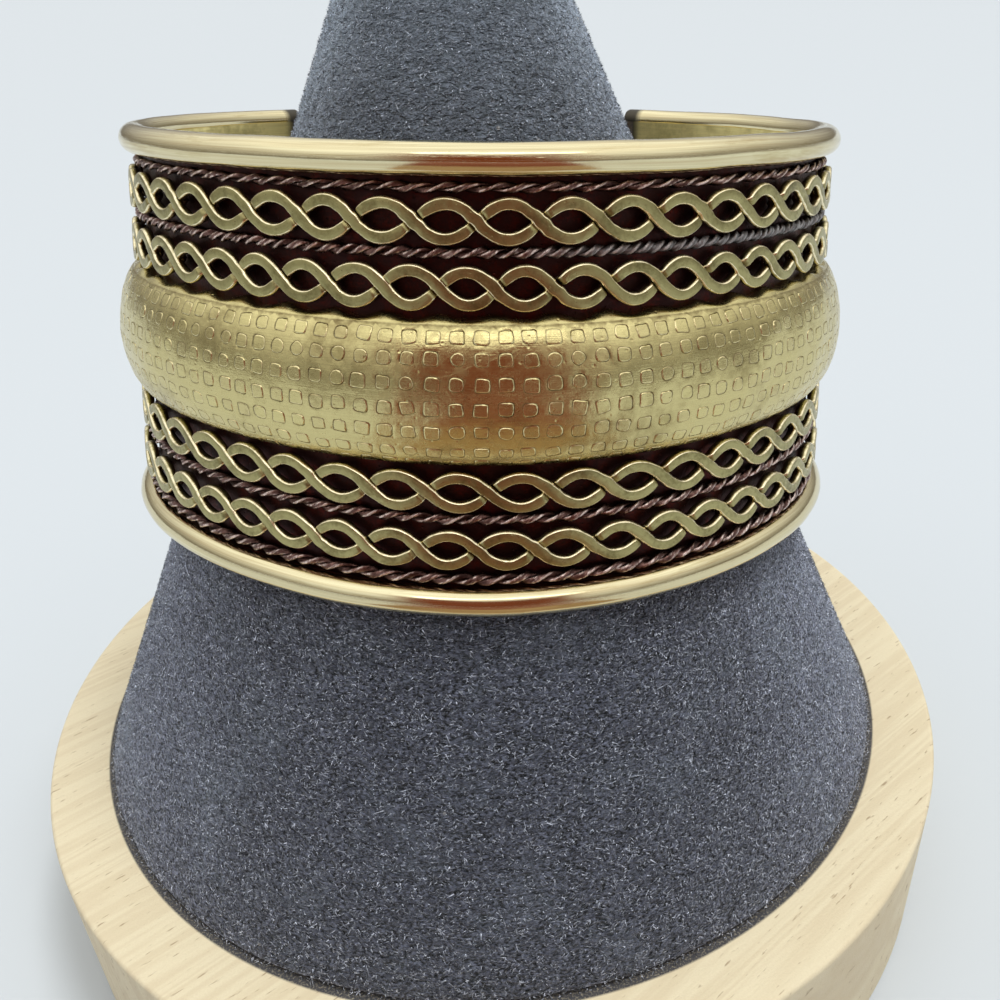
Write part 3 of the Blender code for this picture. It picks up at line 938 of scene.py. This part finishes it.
def polished_brass(effects):
    """Rims: polished brass wire, with drawn lines and a thin uneven tarnish."""
    material, tree, sockets = new_material("polished_brass", Metallic=1.0)
    wall = attribute(tree, "wall")
    solder = separate(tree, attribute(tree, "finish"))[0]
    tarnish = use(tree, effects["tarnish"], Vector=stretch(tree, wall, (0.12, 1.0, 1.0)),
                  Patch_Size=1.6, Coverage=0.45)
    lines = use(tree, effects["drawn_lines"], Vector=wall, Spacing=0.22, Length=18.0)
    dents = use(tree, effects["dents"], Vector=wall, Size=4.0)
    colour = blend(tree, tarnish["Mask"], rgb(0.84, 0.76, 0.48), rgb(0.60, 0.50, 0.26))
    colour = tint(tree, colour, lines["Mask"], 0.42, rgb(0.40, 0.25, 0.10))
    colour = blend(tree, solder, colour, rgb(0.085, 0.075, 0.058))
    rough = rescale(tree, tarnish["Mottle"], 0.3, 0.7, 0.10, 0.20)
    rough = maths(tree, "ADD", rough, maths(tree, "MULTIPLY", solder, 0.3))
    tree.links.new(colour, sockets["Base Color"])
    tree.links.new(rough, sockets["Roughness"])
    bumped(tree, sockets, (dents["Height"], 0.3, 0.03 * MM), (lines["Height"], 0.6, 0.008 * MM))
    return material


def stamped_brass(effects):
    """Dome: brass with wear, dull in the grooves of the marks from dirt and painted shade, and bright on
    their crests from rub wear and painted highlight.
    """
    material, tree, sockets = new_material("stamped_brass", Metallic=1.0)
    wall = attribute(tree, "wall")
    crest, recess, tone = separate(tree, attribute(tree, "finish"))
    tarnish = use(tree, effects["tarnish"], Vector=wall, Patch_Size=6.0, Coverage=0.5)
    rubbed_and_highlight = use(tree, effects["rubbed_edges_and_highlights"], Edge=crest, Vector=wall, Breakup=0.5)
    grime_and_shade = use(tree, effects["grime_and_shade"], Recess=recess, Vector=wall, Amount=0.85)
    lines = use(tree, effects["drawn_lines"], Vector=wall, Spacing=0.10, Length=3.0)
    scratches = use(tree, effects["scratches"], Vector=wall, Spacing=3.2, Width=0.010)
    dents = use(tree, effects["dents"], Vector=wall, Size=1.6)
    colour = blend(tree, tarnish["Mask"], rgb(0.72, 0.63, 0.29), rgb(0.42, 0.35, 0.15))
    colour = tint(tree, colour, lines["Mask"], 0.25, rgb(0.40, 0.31, 0.14))
    colour = blend(tree, rescale(tree, tone, -1.0, 1.0, 0.0, 0.25), colour, rgb(0.50, 0.40, 0.22))
    # Painted highlight with rub wear on the crests of the marks, then painted shade with dirt in their
    # grooves.
    colour = tint(tree, colour, rubbed_and_highlight["Mask"], 0.65, rgb(0.93, 0.80, 0.48))
    colour = blend(tree, grime_and_shade["Mask"], colour, rgb(0.14, 0.09, 0.035))
    rough = rescale(tree, tarnish["Mottle"], 0.3, 0.7, 0.17, 0.32)
    rough = maths(tree, "ADD", rough, maths(tree, "MULTIPLY", grime_and_shade["Mask"], 0.3), clamp=True)
    tree.links.new(colour, sockets["Base Color"])
    tree.links.new(rough, sockets["Roughness"])
    bumped(tree, sockets, (dents["Height"], 0.6, 0.08 * MM), (lines["Height"], 0.5, 0.020 * MM),
           (scratches["Mask"], 0.4, -0.01 * MM))
    return material


def aged_brass(effects):
    """Braids: olive tarnished faces, filed, with edges lightened to bright brass by rub wear and painted
    highlight, and darkened by dirt and painted shade where a strand dips under its partner.
    """
    material, tree, sockets = new_material("aged_brass", Metallic=1.0)
    wall = attribute(tree, "wall")
    edge, recess, _ = separate(tree, attribute(tree, "finish"))
    tarnish = use(tree, effects["tarnish"], Vector=wall, Patch_Size=2.4, Coverage=0.55)
    rubbed_and_highlight = use(tree, effects["rubbed_edges_and_highlights"], Edge=edge, Vector=wall, Breakup=0.45)
    grime_and_shade = use(tree, effects["grime_and_shade"], Recess=recess, Vector=wall, Amount=0.85)
    lines = use(tree, effects["drawn_lines"], Vector=wall, Spacing=0.09, Length=1.6)
    dents = use(tree, effects["dents"], Vector=wall, Size=0.55)
    colour = blend(tree, tarnish["Mask"], rgb(0.44, 0.40, 0.18), rgb(0.22, 0.195, 0.080))
    colour = tint(tree, colour, lines["Mask"], 0.25, rgb(0.30, 0.22, 0.10))
    # Painted shade with dirt where a strand dips under its partner, then painted highlight with rub wear on
    # its edges.
    colour = blend(tree, grime_and_shade["Mask"], colour, rgb(0.08, 0.05, 0.025))
    colour = blend(tree, rubbed_and_highlight["Mask"], colour, rgb(0.95, 0.84, 0.56))
    rough = rescale(tree, tarnish["Mottle"], 0.3, 0.7, 0.26, 0.42)
    rough = maths(tree, "SUBTRACT", rough, maths(tree, "MULTIPLY", rubbed_and_highlight["Mask"], 0.12), clamp=True)
    tree.links.new(colour, sockets["Base Color"])
    tree.links.new(rough, sockets["Roughness"])
    bumped(tree, sockets, (dents["Height"], 0.7, 0.05 * MM), (lines["Height"], 0.5, 0.012 * MM))
    return material


def dark_copper(effects):
    """Twisted wires: browned copper, lightened pinkish on top by rub wear and painted highlight, darkened
    below the crowns by dirt and painted shade, and sooty where it was heated.
    """
    material, tree, sockets = new_material("dark_copper")
    wall = attribute(tree, "wall")
    crown, recess, heated = separate(tree, attribute(tree, "finish"))
    tarnish = use(tree, effects["tarnish"], Vector=wall, Patch_Size=1.8, Coverage=0.6)
    rubbed_and_highlight = use(tree, effects["rubbed_edges_and_highlights"], Edge=crown, Vector=wall, Breakup=0.8)
    grime_and_shade = use(tree, effects["grime_and_shade"], Recess=recess, Vector=wall, Amount=0.9)
    lines = use(tree, effects["drawn_lines"], Vector=wall, Spacing=0.07, Length=1.2)
    dents = use(tree, effects["dents"], Vector=wall, Size=0.5)
    colour = blend(tree, tarnish["Mask"], rgb(0.29, 0.160, 0.135), rgb(0.085, 0.042, 0.036))
    # Painted highlight with rub wear on the crowns, then painted shade with dirt on the rest of each wire.
    colour = tint(tree, colour, rubbed_and_highlight["Mask"], 0.9, rgb(0.97, 0.80, 0.73))
    colour = blend(tree, grime_and_shade["Mask"], colour, rgb(0.03, 0.014, 0.012))
    soot = maths(tree, "MULTIPLY", heated, rescale(tree, tarnish["Mottle"], 0.25, 0.55, 0.6, 1.0))
    # On the soot the crowns turn pale grey, as wear and painted highlight.
    worn_and_highlit = maths(tree, "MULTIPLY", crown, rescale(tree, tarnish["Mottle"], 0.40, 0.62, 0.25, 1.0))
    ashen = blend(tree, worn_and_highlit, rgb(0.030, 0.030, 0.032), rgb(0.60, 0.60, 0.60))
    colour = blend(tree, soot, colour, ashen)
    rough = rescale(tree, tarnish["Mottle"], 0.3, 0.7, 0.22, 0.40)
    rough = maths(tree, "ADD", rough, maths(tree, "MULTIPLY", soot, 0.2), clamp=True)
    tree.links.new(colour, sockets["Base Color"])
    tree.links.new(rescale(tree, soot, 0.0, 1.0, 0.95, 0.45), sockets["Metallic"])
    tree.links.new(rough, sockets["Roughness"])
    bumped(tree, sockets, (lines["Height"], 0.9, 0.04 * MM), (dents["Height"], 0.5, 0.04 * MM))
    return material


def patina_sheet(effects):
    """Outside of the sheet: nearly black patina, tinted red as a painted reflection of warm surroundings,
    with uncovered patches painted as brighter red glints.
    """
    material, tree, sockets = new_material("patina_sheet")
    wall = attribute(tree, "wall")
    tarnish = use(tree, effects["tarnish"], Vector=wall, Patch_Size=1.5, Coverage=0.78)
    dents = use(tree, effects["dents"], Vector=wall, Size=1.1)
    bare_and_glint = maths(tree, "SUBTRACT", 1.0, tarnish["Mask"])
    # Painted reflection: both colours are tinted red for warm surroundings mirrored in the dark metal; the
    # brighter red of the uncovered patches is a painted glint as well as uncovered metal.
    colour = blend(tree, bare_and_glint, rgb(0.030, 0.007, 0.006), rgb(0.085, 0.016, 0.012))
    tree.links.new(colour, sockets["Base Color"])
    tree.links.new(rescale(tree, bare_and_glint, 0.0, 1.0, 0.75, 1.0), sockets["Metallic"])
    tree.links.new(rescale(tree, tarnish["Mottle"], 0.3, 0.7, 0.28, 0.55), sockets["Roughness"])
    bumped(tree, sockets, (dents["Height"], 0.8, 0.10 * MM))
    return material


def inner_brass(effects):
    """Inside of the sheet: dull yellow brass with long polishing lines."""
    material, tree, sockets = new_material("inner_brass", Metallic=1.0)
    wall = attribute(tree, "wall")
    solder = separate(tree, attribute(tree, "finish"))[0]
    tarnish = use(tree, effects["tarnish"], Vector=wall, Patch_Size=7.0, Coverage=0.55)
    lines = use(tree, effects["drawn_lines"], Vector=wall, Spacing=0.25, Length=14.0)
    dents = use(tree, effects["dents"], Vector=wall, Size=3.0)
    colour = blend(tree, tarnish["Mask"], rgb(0.90, 0.75, 0.32), rgb(0.56, 0.46, 0.18))
    colour = tint(tree, colour, lines["Mask"], 0.3, rgb(0.30, 0.24, 0.10))
    colour = blend(tree, solder, colour, rgb(0.070, 0.062, 0.046))
    tree.links.new(colour, sockets["Base Color"])
    tree.links.new(rescale(tree, tarnish["Mottle"], 0.3, 0.7, 0.30, 0.48), sockets["Roughness"])
    bumped(tree, sockets, (dents["Height"], 0.4, 0.10 * MM), (lines["Height"], 0.5, 0.012 * MM))
    return material


def end_bar_metal(effects):
    """Closing bars at the ends: dark, file marked solder and brass."""
    material, tree, sockets = new_material("end_bar_metal")
    wall = attribute(tree, "wall")
    tarnish = use(tree, effects["tarnish"], Vector=wall, Patch_Size=1.6, Coverage=0.6)
    lines = use(tree, effects["drawn_lines"], Vector=wall, Spacing=0.3, Length=0.5)
    dents = use(tree, effects["dents"], Vector=wall, Size=0.7)
    colour = blend(tree, tarnish["Mask"], rgb(0.13, 0.10, 0.07), rgb(0.05, 0.042, 0.036))
    colour = tint(tree, colour, lines["Mask"], 0.3, rgb(0.05, 0.04, 0.035))
    tree.links.new(colour, sockets["Base Color"])
    tree.links.new(rescale(tree, tarnish["Mask"], 0.0, 1.0, 0.7, 0.2), sockets["Metallic"])
    tree.links.new(rescale(tree, tarnish["Mottle"], 0.3, 0.7, 0.40, 0.62), sockets["Roughness"])
    bumped(tree, sockets, (dents["Height"], 0.7, 0.08 * MM))
    return material


def millimetres(tree):
    """The stand's own coordinates in millimetres."""
    own = add_node(tree, "ShaderNodeTexCoord").outputs["Object"]
    return stretch(tree, own, (1000.0, 1000.0, 1000.0))


def grey_suede(effects):
    """Slate suede: short uneven nap, brushed paler and darker in patches, with painted light towards the top
    and a painted sheen at grazing angles.
    """
    material, tree, sockets = new_material(
        "grey_suede", Specular_IOR_Level=0.2, Sheen_Weight=0.4, Sheen_Roughness=0.45,
        Sheen_Tint=rgb(0.86, 0.92, 1.0))
    where = millimetres(tree)
    fibre_tone, _, on_fibre = separate(tree, attribute(tree, "finish"))
    brushed = use(tree, effects["tarnish"], Vector=where, Patch_Size=9.0, Coverage=0.5)
    specks = use(tree, effects["specks"], Vector=where, Spacing=4.5, Size=0.035)
    flattened = stretch(tree, where, (1.0, 1.0, 1.9))
    nap = grain(tree, flattened, 2.9, 2.0, 0.6)
    clumps = grain(tree, flattened, 0.85, 3.0, 0.6, 0.8)
    tuft = maths(tree, "ADD", maths(tree, "MULTIPLY", nap, 0.7), maths(tree, "MULTIPLY", clumps, 0.3))
    ground = blend(tree, rescale(tree, tuft, 0.42, 0.60), rgb(0.002, 0.003, 0.004), rgb(0.185, 0.205, 0.275))
    standing = blend(tree, fibre_tone, rgb(0.010, 0.012, 0.018), rgb(0.760, 0.820, 0.950))
    colour = blend(tree, on_fibre, ground, standing)
    colour = blend(tree, rescale(tree, clumps, 0.45, 0.62, 0.0, 0.55), colour, rgb(0.016, 0.018, 0.029))
    # Painted light: the colour turns paler towards the top of the cone, with some paler brushed patches.
    height = separate(tree, where)[2]
    top_light_and_brushing = maths(tree, "ADD", rescale(tree, height, 46.0, 78.0, 0.0, 0.48),
                    maths(tree, "MULTIPLY", brushed["Mask"], 0.14))
    colour = blend(tree, top_light_and_brushing, colour, rgb(0.29, 0.355, 0.42))
    colour = tint(tree, colour, specks["Mask"], 0.6, rgb(0.45, 0.44, 0.42))
    # Painted sheen: the colour is brightened where the surface is seen at a grazing angle, as the nap looks
    # paler along its tips.
    grazing = add_node(tree, "ShaderNodeLayerWeight", {"Blend": 0.5}).outputs["Facing"]
    sheen_gain = rescale(tree, grazing, 0.32, 0.92, 1.0, 3.2)
    colour = add_node(tree, "ShaderNodeVectorMath", {0: colour, "Scale": sheen_gain}, operation="SCALE").outputs[0]
    tree.links.new(colour, sockets["Base Color"])
    tree.links.new(rescale(tree, nap, 0.3, 0.7, 0.88, 1.0), sockets["Roughness"])
    bumped(tree, sockets, (clumps, 1.0, 0.80 * MM), (tuft, 1.0, 0.60 * MM))
    return material


def pale_wood(effects):
    """Pale wood: fine pores and soft growth lines that run slantwise across the foot."""
    material, tree, sockets = new_material("pale_wood", Specular_IOR_Level=0.35)
    where = millimetres(tree)
    slantwise = spin(tree, where, -0.62)
    growth = grain(tree, stretch(tree, slantwise, (0.012, 0.30, 0.06)), 1.0, 3.0, 0.55, 0.5)
    bands = maths(tree, "SINE", maths(tree, "MULTIPLY", growth, 34.0))
    pores = grain(tree, stretch(tree, slantwise, (0.55, 3.0, 0.9)), 1.0, 2.0, 0.5)
    powder = grain(tree, where, 5.0, 3.0, 0.7)
    stains = use(tree, effects["tarnish"], Vector=where, Patch_Size=14.0, Coverage=0.35)
    specks = use(tree, effects["specks"], Vector=where, Spacing=6.0, Size=0.03)
    banding = rescale(tree, bands, -1.0, 1.0, 0.0, 0.35)
    colour = blend(tree, banding, rgb(0.72, 0.64, 0.45), rgb(0.55, 0.44, 0.28))
    colour = blend(tree, rescale(tree, powder, 0.35, 0.65, 0.0, 0.22), colour, rgb(0.58, 0.48, 0.31))
    colour = tint(tree, colour, rescale(tree, pores, 0.66, 0.74), 0.75, rgb(0.31, 0.22, 0.13))
    colour = tint(tree, colour, stains["Mask"], 0.12, rgb(0.56, 0.41, 0.28))
    colour = tint(tree, colour, specks["Mask"], 0.5, rgb(0.30, 0.20, 0.13))
    # A dark line of painted shade runs round the wood where the foot of the cone meets it.
    level = stretch(tree, where, (1.0, 1.0, 0.0))
    reach = add_node(tree, "ShaderNodeVectorMath", {0: level}, operation="LENGTH").outputs["Value"]
    broken = rescale(tree, powder, 0.3, 0.5, 0.6, 1.0)
    foot_shade = maths(tree, "MULTIPLY", rescale(tree, reach, 46.62, 46.42), broken)
    colour = blend(tree, foot_shade, colour, rgb(0.05, 0.05, 0.055))
    tree.links.new(colour, sockets["Base Color"])
    tree.links.new(rescale(tree, pores, 0.3, 0.7, 0.50, 0.72), sockets["Roughness"])
    bumped(tree, sockets, (pores, 0.6, -0.10 * MM), (powder, 0.5, 0.08 * MM))
    return material


def plain_material(name, colour):
    """A dull even colour."""
    return new_material(name, Base_Color=colour, Roughness=0.8)[0]


def glowing_material(name, colour):
    """An even colour that gives its own light."""
    return new_material(name, Base_Color=rgb(0, 0, 0), Roughness=0.8, Emission_Color=colour,
                        Emission_Strength=1.0)[0]


# Surroundings

def photo_camera():
    """Camera just in front of the stand and above it, looking down at the cuff."""
    stands_at = Vector((0.0, -96.4 * MM, 98.14 * MM))
    yaw, pitch, roll = 0.030, 0.526, 0.065
    ahead = Vector((math.sin(yaw) * math.cos(pitch), math.cos(yaw) * math.cos(pitch), -math.sin(pitch)))
    right = Vector((math.cos(yaw), -math.sin(yaw), 0))
    down = ahead.cross(right)
    across = right * math.cos(roll) + down * math.sin(roll)
    below = down * math.cos(roll) - right * math.sin(roll)
    data = bpy.data.cameras.new("photo_camera")
    data.sensor_width = 36.0
    data.lens = 34.56
    data.clip_start = 5 * MM
    camera = bpy.data.objects.new("photo_camera", data)
    bpy.context.scene.collection.objects.link(camera)
    looks = Matrix((across, -below, -ahead)).transposed().to_4x4()
    camera.matrix_world = Matrix.Translation(stands_at) @ looks
    bpy.context.scene.camera = camera


def hang_light(data, location, shines):
    """Put a light in the scene, shining along a direction."""
    light = bpy.data.objects.new(data.name, data)
    bpy.context.scene.collection.objects.link(light)
    light.location = location
    light.rotation_euler = shines.to_track_quat("-Z", "Y").to_euler()
    return light


def front_light():
    """A long soft light over the front, which draws the bright line along the rims."""
    data = bpy.data.lights.new("light_front", "AREA")
    data.shape = "RECTANGLE"
    data.size = 500 * MM
    data.size_y = 80 * MM
    data.energy = 0.24
    location = Vector((50, -340, 560)) * MM
    target = Vector((0, 0, 80)) * MM
    hang_light(data, location, target - location)


def key_light():
    """A broad light from high on the right, kept out of the metal's reflections."""
    data = bpy.data.lights.new("light_key", "SUN")
    data.energy = 1.4
    data.angle = math.radians(16)
    light = hang_light(data, Vector(), Vector((-0.28, 0.02, -0.95)))
    light.visible_glossy = False


def pale_room():
    """White room, brightest overhead, with a warm dark screen hung in front for the metal to mirror."""
    world = bpy.data.worlds.new("pale_room")
    bpy.context.scene.world = world
    world.use_nodes = True
    tree = world.node_tree
    across, back, height = separate(tree, add_node(tree, "ShaderNodeTexCoord").outputs["Generated"])
    colour = blend(tree, rescale(tree, height, 0.05, 0.75), rgb(0.21, 0.195, 0.17), rgb(1.22, 1.235, 1.23))
    beside = rescale(tree, maths(tree, "ABSOLUTE", across), 0.52, 0.38)
    ahead = rescale(tree, back, -0.35, -0.5)
    below = rescale(tree, height, 0.76, 0.66)
    screen = maths(tree, "MULTIPLY", maths(tree, "MULTIPLY", beside, ahead), below)
    colour = blend(tree, screen, colour, rgb(0.21, 0.060, 0.033))
    # The camera sees the room as pale as the floor.
    seen = add_node(tree, "ShaderNodeLightPath").outputs["Is Camera Ray"]
    colour = blend(tree, seen, colour, rgb(0.74, 0.79, 0.82))
    tree.links.new(colour, tree.nodes["Background"].inputs["Color"])
    tree.nodes["Background"].inputs["Strength"].default_value = 1.0


def pale_floor():
    """Plain pale floor, large enough to fill the view."""
    reach = 8.0
    corners = np.array([(-reach, -reach, 0), (reach, -reach, 0), (reach, reach, 0), (-reach, reach, 0)])
    material = plain_material("pale_floor", rgb(0.54, 0.58, 0.61))
    make_piece("pale_floor", corners, [[0, 1, 2, 3]], [material])


def warm_screen():
    """Warm screen laid in front of the stand, which only the metal sees."""
    edges = (
        {"ahead": 64 * MM, "half": 50 * MM},
        {"ahead": 165 * MM, "half": 90 * MM},
        {"ahead": 2500 * MM, "half": 1150 * MM},
    )
    above_floor = 2 * MM
    ends = [(side, edge) for edge in edges for side in (-1, 1)]
    corners = np.array([(side * edge["half"], -edge["ahead"], above_floor) for side, edge in ends])
    tan = glowing_material("tan_screen", rgb(0.38, 0.26, 0.15))
    dark = glowing_material("dark_screen", rgb(0.23, 0.065, 0.036))
    screen = make_piece("warm_screen", corners, [[0, 1, 3, 2], [2, 3, 5, 4]], [tan, dark])
    screen.data.polygons[1].material_index = 1
    screen.visible_camera = False
    screen.visible_diffuse = False
    screen.visible_shadow = False


def build():
    """Build the surroundings and every finished piece."""
    effects = {
        "tarnish": tarnish_group(), "drawn_lines": drawn_lines_group(), "scratches": scratches_group(),
        "rubbed_edges_and_highlights": rubbed_edges_and_highlights_group(), "grime_and_shade": grime_and_shade_group(), "dents": dents_group(),
        "specks": specks_group(),
    }
    photo_camera()
    pale_room()
    front_light()
    key_light()
    pale_floor()
    warm_screen()

    sheet = cuff_sheet(patina_sheet(effects), inner_brass(effects), end_bar_metal(effects))
    dress(sheet, "brass", "cuff_wall")
    rims = polished_brass(effects)
    upper, lower = SETTLED["rims"]
    dress(rim_wire("upper_rim", upper, 1, rims), "brass")
    dress(rim_wire("lower_rim", RIM_SPAN + lower, 2, rims), "brass")
    dress(dome_skin(stamped_brass(effects)), "stamped_brass", "dome_band")
    copper = dark_copper(effects)
    for row, twist in enumerate(TWISTS, 1):
        middle = TWIST_DROPS[row - 1] + SETTLED["twists"][row - 1]
        piece = twisted_wire(f"twisted_wire_{row}", middle, twist, row, copper)
        dress(piece, "dark_copper", f"twist_wire_{row}")
    aged = aged_brass(effects)
    for row, eyes in enumerate(BRAID_EYES, 1):
        middle = BRAID_DROPS[row - 1] + SETTLED["braids"][row - 1]
        for strand, start_turn in (("a", 0.0), ("b", math.pi)):
            node = f"braid_{row}_strand_{strand}"
            piece = braid_strand(f"filed_{node}", middle, eyes, start_turn, row * 10 + ord(strand), aged)
            dress(piece, "aged_brass", node)
    suede = grey_suede(effects)
    dress(suede_cone(suede), "grey_suede", "stand_cone")
    dress(suede_nap(suede), "grey_suede")
    dress(wooden_foot(pale_wood(effects)), "pale_wood", "stand_foot")


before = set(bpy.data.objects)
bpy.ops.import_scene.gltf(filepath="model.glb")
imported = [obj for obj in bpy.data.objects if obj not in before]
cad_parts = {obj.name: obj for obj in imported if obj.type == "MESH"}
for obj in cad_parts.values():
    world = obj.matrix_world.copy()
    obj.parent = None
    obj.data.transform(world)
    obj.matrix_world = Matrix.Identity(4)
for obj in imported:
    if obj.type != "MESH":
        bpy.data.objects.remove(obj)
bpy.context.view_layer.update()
SEAT = seat_place()
bpy.context.scene.view_settings.view_transform = "Standard"
build()
